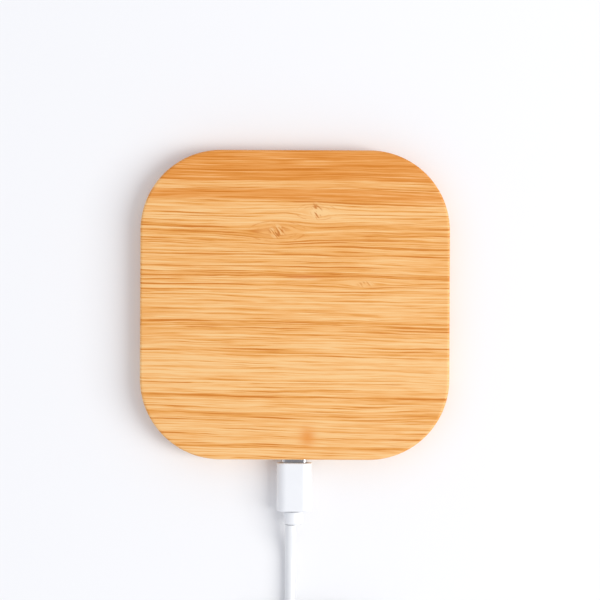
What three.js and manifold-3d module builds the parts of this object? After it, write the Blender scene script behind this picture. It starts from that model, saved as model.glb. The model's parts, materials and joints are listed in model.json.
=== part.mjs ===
// Wireless charging pad: a bamboo shell over a charging coil, with a USB lead plugged into its side.
// Millimetres, +Z up. The origin is the middle of the pad's footprint, on the surface it stands on.
// The lead leaves towards -Y. Its unseen length lies wound up on the same surface.

import * as THREE from 'three';
import { mergeVertices } from 'three/addons/utils/BufferGeometryUtils.js';
import Module from 'manifold-3d';

// ---------------------------------------------------------------- driving dimensions

// Pad
const PAD_WIDTH = 100;
const PAD_CORNER_RADIUS = 26;
const PAD_HEIGHT = 9;
const FOOT_STANDOFF = 1;
const EDGE_ROUNDING = 0.8;
const ROOF_THICKNESS = 2;
const POCKET_HALF = 42;
const POCKET_RADIUS = 30;
const COVER_SEAT_HALF = 47.5;
const COVER_THICKNESS = 2;

// Clearances, and how far a cutting tool runs past the part it cuts
const FIT_GAP = 0.3;
const REST_GAP = 0.1;
const OVERRUN = 1;

// Feet and the screws under them
const FOOT_RADIUS = 5;
const FOOT_RECESS_DEPTH = 0.6;
const FOOT_RIM = 0.5;
const CORNER_OFFSET = 36.4;
const SCREW_HEAD_RADIUS = 2.2;
const SCREW_HEAD_THICKNESS = 0.2;
const SCREW_SHANK_RADIUS = 1.1;
const SCREW_POINT_LENGTH = 1;
const SCREW_TIP_Z = 6.6;
const CROSS_HALF_LENGTH = 1.2;
const CROSS_HALF_WIDTH = 0.25;
const CROSS_DEPTH = 0.6;

// Circuit board
const BOARD_THICKNESS = 0.8;
const BOARD_BOSS_HEIGHT = 0.3;
const BOARD_HALF_WIDTH = 22;
const BOARD_BACK_Y = -25;
const BOARD_FRONT_Y = -41.4;
const BOARD_CHAMFER_Y = -37;
const BOARD_CHAMFER_X = 13;
const BOARD_NOSE_Y = -47.6;
const BOARD_NOSE_HALF = 7.5;
const BOARD_SCREW_X = 18.5;
const BOARD_SCREW_Y = -29;
const BOARD_SCREW_RADIUS = 0.8;
const BOARD_SCREW_HEAD_RADIUS = 1.7;
const BOARD_HOLE_RADIUS = 1.1;
const BOSS_RADIUS = 2.4;
const BOSS_FLOOR = 0.8;
const LIGHT_GUIDE_X = 12;
const LIGHT_GUIDE_RADIUS = 1;
const LIGHT_GUIDE_RECESS = 0.2;

// Bay in the bamboo behind the port
const BAY_HALF_WIDTH = 8;
const BAY_FRONT_Y = -48.3;
const BAY_BACK_Y = -40;
const PORT_SLOT_BACK_Y = -46;

// USB-C port and plug
const PORT_Z = 4.9;
const USB_C_PLUG_WIDTH = 8.25;
const USB_C_PLUG_HEIGHT = 2.4;
const USB_C_PLUG_LENGTH = 6.65;
const USB_C_WALL = 0.3;
const USB_C_CLEARANCE = 0.1;
const RECEPTACLE_MOUTH_Y = -49.6;
const RECEPTACLE_BACK_Y = -42;
const TONGUE_BLOCK_Y = -43.7;
const TONGUE_FRONT_Y = -48.6;
const TONGUE_HALF_WIDTH = 3.35;
const TONGUE_HALF_THICKNESS = 0.35;
const PLUG_SLOT_HALF_WIDTH = 3.5;
const PLUG_SLOT_HALF_HEIGHT = 0.52;
const PLUG_SLOT_BACK_Y = -50;
const PLUG_SHELL_WALL = 0.25;
const PLUG_ROOT_DEPTH = 2;
const OVERMOLD_FRONT_Y = -51.2;
const OVERMOLD_BACK_Y = -67;
const OVERMOLD_WIDTH = 11.4;
const OVERMOLD_HEIGHT = 6.4;
const OVERMOLD_ROUNDING = 0.7;
const RELIEF_RADIUS = 3.1;
const RELIEF_STEP_Y = -69;
const RELIEF_BACK_Y = -71.2;
const RELIEF_X = -0.3;

// Charging coil and the sheets around it
const WIRE_RADIUS = 0.52;
const COIL_TURNS = 10;
const COIL_INNER_RADIUS = 10.8;
const COIL_PITCH = 1.17;
const COIL_Z = 6.05;
const FERRITE_RADIUS = 24;
const FERRITE_LOW_Z = 4.75;
const FERRITE_HIGH_Z = 5.4;
const FERRITE_SLOT_X = -1.7;
const FERRITE_SLOT_Y = -9.8;
const COIL_FILM_RADIUS = 22.6;
const COIL_FILM_LOW_Z = 6.65;
const COIL_FILM_HIGH_Z = 6.95;
const COIL_LEAD_RADIUS = 0.38;
const FOAM_RADIUS = 9.5;

// Lead
const CORD_RADIUS = 1.8;
const CORD_Z = 1.85;
const CORD_LAYER_PITCH = 3.7;
const WOUND_MID_RADIUS = 21.2;
const WOUND_TURN_PITCH = 3.7;
const WOUND_X = 23.7;
const WOUND_Y = -125.5;
const TIE_WIDTH = 7;
const TIE_THICKNESS = 0.55;
const TIE_ROUNDING = 1.5;
const RING_ROUNDING = 1.2;

// Far end of the lead
const USB_A_X = -29.5;
const USB_A_Z = 3.95;
const USB_A_WIDTH = 12;
const USB_A_HEIGHT = 4.5;
const USB_A_WALL = 0.3;
const USB_A_RELIEF_Y = -116.5;
const USB_A_OVERMOLD_Y = -122.5;
const USB_A_SHELL_Y = -142.5;
const USB_A_END_Y = -154.3;
const USB_A_BODY_WIDTH = 15.6;
const USB_A_BODY_HEIGHT = 7.8;
const USB_A_BODY_ROUNDING = 1;
const USB_A_ROOT_DEPTH = 5;
const USB_A_WINDOW_X = 2.9;
const USB_A_WINDOW_WIDTH = 2.5;
const USB_A_WINDOW_LENGTH = 2.2;
const USB_A_WINDOW_SETBACK = 5.2;
const USB_A_CARRIER_THICKNESS = 1.85;
const USB_A_STOP_SETBACK = 9.5;

// How finely round shapes are drawn
const PLAN_SEGMENTS = 5;
const PAD_SEGMENTS = 7;
const SECTION_SEGMENTS = 3;
const TIE_SEGMENTS = 2;
const BEVEL_SEGMENTS = 3;
const TURNED_SEGMENTS = 24;
const WIDE_SEGMENTS = 48;
const SMALL_SEGMENTS = 16;
const TINY_SEGMENTS = 12;
const CORD_SIDES = 8;
const WIRE_SIDES = 6;
const MERGE_TOLERANCE = 1e-4;

// Components on the board: middle x and y, width, depth and height
const CONTROLLER = [0, -36, 5, 5, 0.9];
const DRIVER = [-8.5, -35.5, 4, 4, 0.8];
const CRYSTAL = [6.6, -35.5, 3.2, 2.5, 0.7];
const THERMISTOR = [-9.6, -27.2, 1.6, 0.8, 0.6];
const STATUS_LED = [LIGHT_GUIDE_X, -40.8, 2, 0.8, 1];
const INDUCTOR = [14.5, -34.2, 5.2, 5.2, 1.5];
const CAPACITOR = [-3.6, -27.6, 3.2, 2.5, 1.6];
const CAPACITOR_PITCH = 4.4;
const CAPACITOR_COUNT = 4;

// Routes of the lead where it is not wound, from the plug's relief and from the winding
const LEAD_ROUTE = [
  [-1.1, -71.5, 4.9],
  [-1.15, -74, 4.58],
  [-1.2, -76.4, 3.83],
  [-1.2, -78.9, 2.92],
  [-1.2, -81.4, 2.17],
  [-1.2, -84, 1.87],
  [-1.2, -88, 1.85],
  [-1.2, -98, 1.85],
  [-1.2, -108, 1.85],
  [-1.2, -116.5, 1.85],
];
const TAIL_ROUTE = [
  [14.9, -100.6, 5.55],
  [7, -100.6, 5.55],
  [-1, -100.6, 5.55],
  [-5, -100.7, 5.3],
  [-9, -101, 4.4],
  [-13, -101.6, 3.1],
  [-17, -102.9, 2.2],
  [-21.2, -105.2, 1.9],
  [-25.2, -108.6, 2.1],
  [-28.2, -112.4, 3],
  [-29.4, -114.8, 3.7],
  [-29.5, -116.2, 3.95],
];

// Routes of the coil wire's two ends, down to the board
const OUTER_TURN_Y = -(COIL_INNER_RADIUS + COIL_PITCH * COIL_TURNS);
const INNER_LEAD_ROUTE = [
  [-0.45, -10.8, 6.05],
  [-1.2, -10.72, 5.85],
  [-1.6, -10.7, 5.35],
  [-1.7, -11.1, 4.97],
  [-1.7, -12.2, 4.9],
  [-1.7, -16, 4.9],
  [-1.7, -22, 4.9],
  [-1.7, -25.6, 4.85],
];
const OUTER_LEAD_ROUTE = [
  [0.5, OUTER_TURN_Y, 6.05],
  [1.6, OUTER_TURN_Y, 6.03],
  [2.6, OUTER_TURN_Y - 0.4, 6],
  [3, OUTER_TURN_Y - 1.3, 5.95],
  [3, OUTER_TURN_Y - 2.1, 5.6],
  [3, OUTER_TURN_Y - 2.8, 5.1],
  [3, OUTER_TURN_Y - 3.4, 4.8],
];

// ---------------------------------------------------------------- derived levels

const COVER_LOW_Z = FOOT_STANDOFF;
const COVER_SEAT_Z = COVER_LOW_Z + COVER_THICKNESS;
const COVER_HIGH_Z = COVER_SEAT_Z - REST_GAP;
const ROOF_LOW_Z = PAD_HEIGHT - ROOF_THICKNESS;
const FOOT_SEAT_Z = COVER_LOW_Z + FOOT_RECESS_DEPTH;
const BOARD_LOW_Z = COVER_HIGH_Z + BOARD_BOSS_HEIGHT + REST_GAP;
const BOARD_HIGH_Z = BOARD_LOW_Z + BOARD_THICKNESS;
const PART_LOW_Z = BOARD_HIGH_Z + 0.05;
const HALF_PAD = PAD_WIDTH / 2;
const WOUND_OUTER_RADIUS = WOUND_MID_RADIUS + WOUND_TURN_PITCH + CORD_RADIUS;
const WOUND_INNER_RADIUS = WOUND_MID_RADIUS - WOUND_TURN_PITCH - CORD_RADIUS;
const WOUND_LOW_Z = CORD_Z - CORD_RADIUS;
const WOUND_HIGH_Z = CORD_Z + CORD_LAYER_PITCH + CORD_RADIUS;
const CORNERS = [[1, 1], [-1, 1], [-1, -1], [1, -1]];

// ---------------------------------------------------------------- shapes and solids

const wasm = await Module();
wasm.setup();

// Turns a closed three.js geometry into a manifold solid.
function toSolid(geometry) {
  const bare = geometry.clone();
  bare.deleteAttribute('normal');
  bare.deleteAttribute('uv');
  const merged = mergeVertices(bare, MERGE_TOLERANCE);
  const mesh = new wasm.Mesh({
    numProp: 3,
    vertProperties: new Float32Array(merged.attributes.position.array),
    triVerts: new Uint32Array(merged.index.array),
  });
  return new wasm.Manifold(mesh);
}

function toGeometry(solid) {
  const mesh = solid.getMesh();
  const geometry = new THREE.BufferGeometry();
  geometry.setAttribute('position', new THREE.BufferAttribute(mesh.vertProperties, 3));
  geometry.setIndex(new THREE.BufferAttribute(mesh.triVerts, 1));
  geometry.computeVertexNormals();
  return geometry;
}

function cut(geometry, tools) {
  const result = tools.reduce((left, tool) => left.subtract(toSolid(tool)), toSolid(geometry));
  return toGeometry(result);
}

function join(geometry, extras) {
  const result = extras.reduce((left, extra) => left.add(toSolid(extra)), toSolid(geometry));
  return toGeometry(result);
}

// A rectangle with round corners, centred on the origin.
function roundedRectangle(width, height, radius) {
  const x = width / 2 - radius;
  const y = height / 2 - radius;
  const shape = new THREE.Shape();
  shape.absarc(x, y, radius, 0, Math.PI / 2);
  shape.absarc(-x, y, radius, Math.PI / 2, Math.PI);
  shape.absarc(-x, -y, radius, Math.PI, 1.5 * Math.PI);
  shape.absarc(x, -y, radius, 1.5 * Math.PI, 2 * Math.PI);
  shape.closePath();
  return shape;
}

// A stadium drawn as a rounded rectangle whose ends are all but full half circles.
function stadium(width, height) {
  return roundedRectangle(width, height, height / 2 - 0.01);
}

// Extrudes a shape drawn in plan, between two heights.
function slab(shape, lowZ, highZ) {
  const geometry = new THREE.ExtrudeGeometry(shape, {
    depth: highZ - lowZ, bevelEnabled: false, curveSegments: PLAN_SEGMENTS,
  });
  return geometry.translate(0, 0, lowZ);
}

// As slab, with both rims rounded over.
function roundedSlab(width, radius, lowZ, highZ, rounding) {
  const inner = roundedRectangle(width - 2 * rounding, width - 2 * rounding, radius - rounding);
  const geometry = new THREE.ExtrudeGeometry(inner, {
    depth: highZ - lowZ - 2 * rounding, curveSegments: PAD_SEGMENTS,
    bevelSize: rounding, bevelThickness: rounding, bevelSegments: BEVEL_SEGMENTS,
  });
  return geometry.translate(0, 0, lowZ + rounding);
}

// Extrudes a shape drawn in the XZ plane, from one Y to a lower one, with optional rounded ends.
function alongY(shape, highY, lowY, x, z, rounding = 0) {
  const geometry = new THREE.ExtrudeGeometry(shape, {
    depth: highY - lowY - 2 * rounding, curveSegments: SECTION_SEGMENTS, bevelEnabled: rounding > 0,
    bevelSize: rounding, bevelThickness: rounding, bevelSegments: BEVEL_SEGMENTS,
  });
  geometry.rotateX(Math.PI / 2);
  return geometry.translate(x, highY - rounding, z);
}

function box(lowX, highX, lowY, highY, lowZ, highZ) {
  const geometry = new THREE.BoxGeometry(highX - lowX, highY - lowY, highZ - lowZ);
  return geometry.translate((lowX + highX) / 2, (lowY + highY) / 2, (lowZ + highZ) / 2);
}

// A box for a component that sits on the board, by its centre and sizes.
function boardBlock(x, y, width, depth, height) {
  const halfX = width / 2;
  const halfY = depth / 2;
  return box(x - halfX, x + halfX, y - halfY, y + halfY, PART_LOW_Z, PART_LOW_Z + height);
}

// Revolves a profile of [radius, height] points about an upright axis at (x, y).
function turned(profile, x, y, segments = TURNED_SEGMENTS) {
  const points = profile.map(([radius, height]) => new THREE.Vector2(radius, height));
  const geometry = new THREE.LatheGeometry(points, segments);
  geometry.rotateX(Math.PI / 2);
  return geometry.translate(x, y, 0);
}

function disc(radius, lowZ, highZ, x = 0, y = 0, segments = TURNED_SEGMENTS) {
  return turned([[0, lowZ], [radius, lowZ], [radius, highZ], [0, highZ]], x, y, segments);
}

// A round bar along Y whose radius changes, by [radius, y] points with y falling.
function turnedAlongY(profile, x, z, segments = SMALL_SEGMENTS) {
  const points = profile.map(([radius, y]) => new THREE.Vector2(radius, y)).reverse();
  return new THREE.LatheGeometry(points, segments).translate(x, 0, z);
}

// Sweeps a round section along a curve.
function sweptTube(curve, radius, steps, sides) {
  const section = new THREE.Shape();
  section.absarc(0, 0, radius, 0, 2 * Math.PI);
  return new THREE.ExtrudeGeometry(section, {
    extrudePath: curve, steps, curveSegments: sides / 2, bevelEnabled: false,
  });
}

function smoothCurve(points) {
  return new THREE.CatmullRomCurve3(points.map((point) => new THREE.Vector3(...point)));
}

// ---------------------------------------------------------------- materials

function makeMaterial(color, roughness, metalness = 0) {
  return new THREE.MeshStandardMaterial({ color, roughness, metalness });
}

const bamboo = () => makeMaterial(0xe3a765, 0.5);
const coverPlastic = () => makeMaterial(0xe6e5e1, 0.6);
const footRubber = () => makeMaterial(0x9b9c9c, 0.8);
const steel = () => makeMaterial(0xb4b6b8, 0.35, 1);
const boardLaminate = () => makeMaterial(0x1c5a3a, 0.5);
const blackPlastic = () => makeMaterial(0x1a1a1c, 0.55);
const chipEpoxy = () => makeMaterial(0x232325, 0.6);
const ceramic = () => makeMaterial(0xa98f6c, 0.5);
const ledResin = () => makeMaterial(0xf1f0d8, 0.4);
const lightGuidePlastic = () => makeMaterial(0xe9f1f2, 0.1);
const copperWire = () => makeMaterial(0xb5652f, 0.35, 1);
const leadSleeve = () => makeMaterial(0xdad2bd, 0.7);
const ferrite = () => makeMaterial(0x3c3b3a, 0.7);
const adhesiveFilm = () => makeMaterial(0xd9d4c4, 0.6);
const foam = () => makeMaterial(0x2c2c2e, 0.95);
const plugPlastic = () => makeMaterial(0xf3f4f6, 0.35);
const cordJacket = () => makeMaterial(0xf2f3f5, 0.4);
const tieFabric = () => makeMaterial(0xd9dadc, 0.9);

// ---------------------------------------------------------------- pad shell

// The space milled out of the bamboo: the pocket, the cover's seat, and the bay behind the port.
function pocketTools() {
  const pocket = roundedRectangle(2 * POCKET_HALF, 2 * POCKET_HALF, POCKET_RADIUS);
  const seatRadius = PAD_CORNER_RADIUS - (HALF_PAD - COVER_SEAT_HALF);
  const seat = roundedRectangle(2 * COVER_SEAT_HALF, 2 * COVER_SEAT_HALF, seatRadius);
  return [
    slab(pocket, COVER_LOW_Z - OVERRUN, ROOF_LOW_Z),
    slab(seat, COVER_LOW_Z - OVERRUN, COVER_SEAT_Z),
    box(-BAY_HALF_WIDTH, BAY_HALF_WIDTH, BAY_FRONT_Y, BAY_BACK_Y, COVER_SEAT_Z - 0.5, ROOF_LOW_Z),
  ];
}

function portSlot() {
  const width = receptacleOuterWidth() + 2 * FIT_GAP;
  const height = receptacleOuterHeight() + 2 * FIT_GAP;
  return alongY(stadium(width, height), PORT_SLOT_BACK_Y, -HALF_PAD - OVERRUN, 0, PORT_Z);
}

function lightGuideHole() {
  const radius = LIGHT_GUIDE_RADIUS + REST_GAP;
  const frontY = -HALF_PAD - OVERRUN;
  return turnedAlongY([
    [0, BAY_BACK_Y], [radius, BAY_BACK_Y], [radius, frontY], [0, frontY],
  ], LIGHT_GUIDE_X, PORT_Z);
}

function bambooBody() {
  const blank = roundedSlab(PAD_WIDTH, PAD_CORNER_RADIUS, COVER_LOW_Z, PAD_HEIGHT, EDGE_ROUNDING);
  const pilotRadius = SCREW_SHANK_RADIUS + REST_GAP;
  const pilotTopZ = SCREW_TIP_Z + 2 * REST_GAP;
  const pilotHoles = CORNERS.map(([signX, signY]) => disc(
    pilotRadius, COVER_LOW_Z, pilotTopZ, signX * CORNER_OFFSET, signY * CORNER_OFFSET, TINY_SEGMENTS,
  ));
  return cut(blank, [...pocketTools(), portSlot(), lightGuideHole(), ...pilotHoles]);
}

// The cover, with a recess for each foot, a countersunk hole for each screw and two board bosses.
function bottomCover() {
  const half = COVER_SEAT_HALF - FIT_GAP;
  const radius = PAD_CORNER_RADIUS - (HALF_PAD - half);
  const plate = slab(roundedRectangle(2 * half, 2 * half, radius), COVER_LOW_Z, COVER_HIGH_Z);
  const bosses = [-1, 1].map((sign) => disc(
    BOSS_RADIUS, COVER_LOW_Z + BOSS_FLOOR, BOARD_LOW_Z - REST_GAP, sign * BOARD_SCREW_X,
    BOARD_SCREW_Y, SMALL_SEGMENTS,
  ));
  const headRadius = SCREW_HEAD_RADIUS + FIT_GAP;
  const shankRadius = SCREW_SHANK_RADIUS + FIT_GAP;
  const cornerTools = CORNERS.map(([signX, signY]) => turned([
    [0, 0], [FOOT_RADIUS + FIT_GAP, 0], [FOOT_RADIUS + FIT_GAP, FOOT_SEAT_Z],
    [headRadius, FOOT_SEAT_Z], [headRadius, FOOT_SEAT_Z + SCREW_HEAD_THICKNESS + REST_GAP],
    [shankRadius, COVER_HIGH_Z - 2 * REST_GAP], [shankRadius, COVER_SEAT_Z + OVERRUN],
    [0, COVER_SEAT_Z + OVERRUN],
  ], signX * CORNER_OFFSET, signY * CORNER_OFFSET));
  const boardScrewHoles = [-1, 1].map((sign) => disc(
    BOARD_HOLE_RADIUS, COVER_LOW_Z + 0.5, BOARD_HIGH_Z, sign * BOARD_SCREW_X, BOARD_SCREW_Y,
    TINY_SEGMENTS,
  ));
  return cut(join(plate, bosses), [...cornerTools, ...boardScrewHoles]);
}

// A soft disc with a rounded lower rim.
function foot(signX, signY) {
  const topZ = FOOT_SEAT_Z - REST_GAP;
  const chamfer = 0.3 * FOOT_RIM;
  return turned([
    [0, 0], [FOOT_RADIUS - FOOT_RIM, 0], [FOOT_RADIUS - chamfer, chamfer],
    [FOOT_RADIUS, FOOT_RIM], [FOOT_RADIUS, topZ], [0, topZ],
  ], signX * CORNER_OFFSET, signY * CORNER_OFFSET);
}

// A countersunk wood screw, head down, with a cross recess.
function coverScrew(signX, signY) {
  const x = signX * CORNER_OFFSET;
  const y = signY * CORNER_OFFSET;
  const headZ = FOOT_SEAT_Z + REST_GAP;
  const length = CROSS_HALF_LENGTH;
  const width = CROSS_HALF_WIDTH;
  const recessTop = headZ + CROSS_DEPTH;
  const body = turned([
    [0, headZ], [SCREW_HEAD_RADIUS, headZ], [SCREW_HEAD_RADIUS, headZ + SCREW_HEAD_THICKNESS],
    [SCREW_SHANK_RADIUS, COVER_HIGH_Z - REST_GAP],
    [SCREW_SHANK_RADIUS, SCREW_TIP_Z - SCREW_POINT_LENGTH], [0, SCREW_TIP_Z],
  ], x, y, SMALL_SEGMENTS);
  return cut(body, [
    box(x - length, x + length, y - width, y + width, headZ - OVERRUN, recessTop),
    box(x - width, x + width, y - length, y + length, headZ - OVERRUN, recessTop),
  ]);
}

// A clear rod from the lamp on the board to the face beside the port.
function lightGuide() {
  const backY = BOARD_FRONT_Y - FIT_GAP;
  const frontY = -HALF_PAD + LIGHT_GUIDE_RECESS;
  return turnedAlongY([
    [0, backY], [LIGHT_GUIDE_RADIUS, backY], [LIGHT_GUIDE_RADIUS, frontY], [0, frontY],
  ], LIGHT_GUIDE_X, PORT_Z);
}

// ---------------------------------------------------------------- circuit board

// The board has a nose that reaches the port, with a notch for the receptacle.
function circuitBoard() {
  const notchHalf = receptacleOuterWidth() / 2 + FIT_GAP;
  const notchBackY = RECEPTACLE_BACK_Y + FIT_GAP;
  const half = [
    [BOARD_HALF_WIDTH, BOARD_BACK_Y], [BOARD_HALF_WIDTH, BOARD_CHAMFER_Y],
    [BOARD_CHAMFER_X, BOARD_FRONT_Y], [BOARD_NOSE_HALF, BOARD_FRONT_Y],
    [BOARD_NOSE_HALF, BOARD_NOSE_Y], [notchHalf, BOARD_NOSE_Y], [notchHalf, notchBackY],
  ];
  const mirrored = half.map(([x, y]) => [-x, y]).reverse();
  const outline = [...half, ...mirrored].map(([x, y]) => new THREE.Vector2(x, y)).reverse();
  const holes = [-1, 1].map((sign) => disc(
    BOARD_HOLE_RADIUS, BOARD_LOW_Z - OVERRUN, BOARD_HIGH_Z + OVERRUN, sign * BOARD_SCREW_X,
    BOARD_SCREW_Y, TINY_SEGMENTS,
  ));
  return cut(slab(new THREE.Shape(outline), BOARD_LOW_Z, BOARD_HIGH_Z), holes);
}

// A pan-headed screw through the board into its boss.
function boardScrew(sign) {
  const tipZ = COVER_LOW_Z + BOSS_FLOOR;
  const shoulderZ = PART_LOW_Z + 0.5;
  const headZ = PART_LOW_Z + 0.9;
  return turned([
    [0, tipZ], [BOARD_SCREW_RADIUS, tipZ + 0.4], [BOARD_SCREW_RADIUS, PART_LOW_Z],
    [BOARD_SCREW_HEAD_RADIUS, PART_LOW_Z], [BOARD_SCREW_HEAD_RADIUS, shoulderZ],
    [BOARD_SCREW_HEAD_RADIUS - 0.5, headZ], [0, headZ],
  ], sign * BOARD_SCREW_X, BOARD_SCREW_Y, TINY_SEGMENTS);
}

function receptacleInnerWidth() {
  return USB_C_PLUG_WIDTH + 2 * USB_C_CLEARANCE;
}

function receptacleInnerHeight() {
  return USB_C_PLUG_HEIGHT + 2 * USB_C_CLEARANCE;
}

function receptacleOuterWidth() {
  return receptacleInnerWidth() + 2 * USB_C_WALL;
}

function receptacleOuterHeight() {
  return receptacleInnerHeight() + 2 * USB_C_WALL;
}

function receptacleShell() {
  const outer = stadium(receptacleOuterWidth(), receptacleOuterHeight());
  const inner = stadium(receptacleInnerWidth(), receptacleInnerHeight());
  return cut(alongY(outer, RECEPTACLE_BACK_Y, RECEPTACLE_MOUTH_Y, 0, PORT_Z), [
    alongY(inner, RECEPTACLE_BACK_Y + OVERRUN, RECEPTACLE_MOUTH_Y - OVERRUN, 0, PORT_Z),
  ]);
}

// The tongue that carries the contacts, on the block that closes the shell's back.
function receptacleTongue() {
  const block = stadium(receptacleInnerWidth() - 0.15, receptacleInnerHeight() - 0.15);
  const half = TONGUE_HALF_THICKNESS;
  const tongue = box(
    -TONGUE_HALF_WIDTH, TONGUE_HALF_WIDTH, TONGUE_FRONT_Y, TONGUE_BLOCK_Y + 0.5,
    PORT_Z - half, PORT_Z + half,
  );
  return join(alongY(block, RECEPTACLE_BACK_Y, TONGUE_BLOCK_Y, 0, PORT_Z), [tongue]);
}

function resonantCapacitor(index) {
  const [firstX, ...rest] = CAPACITOR;
  return boardBlock(firstX + CAPACITOR_PITCH * index, ...rest);
}

// A squat block with a round winding cap.
function powerInductor() {
  const [x, y] = INDUCTOR;
  const capRadius = 2.2;
  return join(boardBlock(...INDUCTOR), [
    disc(capRadius, PART_LOW_Z + 1, PART_LOW_Z + 2, x, y, SMALL_SEGMENTS),
  ]);
}

// ---------------------------------------------------------------- coil stack

class SpiralCurve extends THREE.Curve {
  getPoint(t, target = new THREE.Vector3()) {
    const angle = 2 * Math.PI * COIL_TURNS * t - Math.PI / 2;
    const radius = COIL_INNER_RADIUS + COIL_PITCH * COIL_TURNS * t;
    return target.set(radius * Math.cos(angle), radius * Math.sin(angle), COIL_Z);
  }
}

function chargingCoil() {
  const stepsPerTurn = 16;
  return sweptTube(new SpiralCurve(), WIRE_RADIUS, COIL_TURNS * stepsPerTurn, WIRE_SIDES);
}

// The inner end of the wire drops through the ferrite's slot and runs out under the turns.
function innerLead() {
  return sweptTube(smoothCurve(INNER_LEAD_ROUTE), COIL_LEAD_RADIUS, 24, WIRE_SIDES);
}

function outerLead() {
  return sweptTube(smoothCurve(OUTER_LEAD_ROUTE), COIL_LEAD_RADIUS, 14, WIRE_SIDES);
}

function ferritePlate() {
  const plate = disc(FERRITE_RADIUS, FERRITE_LOW_Z, FERRITE_HIGH_Z, 0, 0, WIDE_SEGMENTS);
  const slot = box(
    FERRITE_SLOT_X - 1, FERRITE_SLOT_X + 1, -FERRITE_RADIUS - OVERRUN, FERRITE_SLOT_Y,
    FERRITE_LOW_Z - OVERRUN, FERRITE_HIGH_Z + OVERRUN,
  );
  return cut(plate, [slot]);
}

function coilFilm() {
  return disc(COIL_FILM_RADIUS, COIL_FILM_LOW_Z, COIL_FILM_HIGH_Z, 0, 0, WIDE_SEGMENTS);
}

function foamPad() {
  return disc(FOAM_RADIUS, COVER_HIGH_Z + REST_GAP, FERRITE_LOW_Z - REST_GAP);
}

// ---------------------------------------------------------------- USB-C plug

function plugShell() {
  const tipY = OVERMOLD_FRONT_Y + USB_C_PLUG_LENGTH;
  const rootY = OVERMOLD_FRONT_Y - PLUG_ROOT_DEPTH;
  const walls = 2 * PLUG_SHELL_WALL;
  const outer = stadium(USB_C_PLUG_WIDTH, USB_C_PLUG_HEIGHT);
  const inner = stadium(USB_C_PLUG_WIDTH - walls, USB_C_PLUG_HEIGHT - walls);
  return cut(alongY(outer, tipY, rootY, 0, PORT_Z), [
    alongY(inner, tipY + OVERRUN, rootY - OVERRUN, 0, PORT_Z),
  ]);
}

// The plastic inside the plug, slotted for the receptacle's tongue.
function plugInsulator() {
  const tipY = OVERMOLD_FRONT_Y + USB_C_PLUG_LENGTH - PLUG_SHELL_WALL;
  const rootY = OVERMOLD_FRONT_Y - PLUG_ROOT_DEPTH + 2 * REST_GAP;
  const inset = 2 * PLUG_SHELL_WALL + 0.15;
  const body = stadium(USB_C_PLUG_WIDTH - inset, USB_C_PLUG_HEIGHT - inset);
  const slot = box(
    -PLUG_SLOT_HALF_WIDTH, PLUG_SLOT_HALF_WIDTH, PLUG_SLOT_BACK_Y, tipY + OVERRUN,
    PORT_Z - PLUG_SLOT_HALF_HEIGHT, PORT_Z + PLUG_SLOT_HALF_HEIGHT,
  );
  return cut(alongY(body, tipY, rootY, 0, PORT_Z), [slot]);
}

function plugOvermold() {
  const inset = 2 * OVERMOLD_ROUNDING;
  const section = stadium(OVERMOLD_WIDTH - inset, OVERMOLD_HEIGHT - inset);
  const body = alongY(section, OVERMOLD_FRONT_Y, OVERMOLD_BACK_Y, 0, PORT_Z, OVERMOLD_ROUNDING);
  const gap = 2 * REST_GAP;
  const socket = stadium(USB_C_PLUG_WIDTH + gap, USB_C_PLUG_HEIGHT + gap);
  const socketBackY = OVERMOLD_FRONT_Y - PLUG_ROOT_DEPTH - gap;
  return cut(body, [alongY(socket, OVERMOLD_FRONT_Y + OVERRUN, socketBackY, 0, PORT_Z)]);
}

function plugStrainRelief() {
  const frontY = OVERMOLD_BACK_Y - REST_GAP;
  return turnedAlongY([
    [0, frontY], [RELIEF_RADIUS, frontY], [RELIEF_RADIUS, RELIEF_STEP_Y],
    [RELIEF_RADIUS - 0.1, RELIEF_BACK_Y + 0.4], [RELIEF_RADIUS - 0.5, RELIEF_BACK_Y],
    [0, RELIEF_BACK_Y],
  ], RELIEF_X, PORT_Z);
}

// ---------------------------------------------------------------- lead and its far end

// The outer shape of the wound length, optionally grown on every side.
function woundRing(grow = 0) {
  const inner = WOUND_INNER_RADIUS - grow;
  const outer = WOUND_OUTER_RADIUS + grow;
  const low = WOUND_LOW_Z - grow;
  const high = WOUND_HIGH_Z + grow;
  const round = RING_ROUNDING;
  return turned([
    [inner + round, low], [outer - round, low], [outer, low + round], [outer, high - round],
    [outer - round, high], [inner + round, high], [inner, high - round], [inner, low + round],
    [inner + round, low],
  ], WOUND_X, WOUND_Y, WIDE_SEGMENTS);
}

// The strap round the winding, on the side away from the pad, with its walls moved by grow.
function tieBlock(grow) {
  const lowZ = WOUND_LOW_Z + TIE_THICKNESS - grow;
  const highZ = WOUND_HIGH_Z + TIE_THICKNESS + FIT_GAP + grow;
  const nearY = WOUND_Y - WOUND_INNER_RADIUS + FIT_GAP + grow;
  const farY = WOUND_Y - WOUND_OUTER_RADIUS - FIT_GAP - grow;
  const section = roundedRectangle(nearY - farY, highZ - lowZ, TIE_ROUNDING + grow);
  const halfWidth = TIE_WIDTH / 2 + (grow > TIE_THICKNESS ? FIT_GAP : 0);
  const geometry = new THREE.ExtrudeGeometry(section, {
    depth: 2 * halfWidth, bevelEnabled: false, curveSegments: TIE_SEGMENTS,
  });
  geometry.rotateX(Math.PI / 2);
  geometry.rotateZ(Math.PI / 2);
  return geometry.translate(WOUND_X - halfWidth, (nearY + farY) / 2, (lowZ + highZ) / 2);
}

function cableTie() {
  return cut(tieBlock(TIE_THICKNESS), [stretched(tieBlock(0))]);
}

// The same block made wider along X, so that it cuts right through.
function stretched(geometry) {
  return geometry.translate(-WOUND_X, 0, 0).scale(2, 1, 1).translate(WOUND_X, 0, 0);
}

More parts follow.
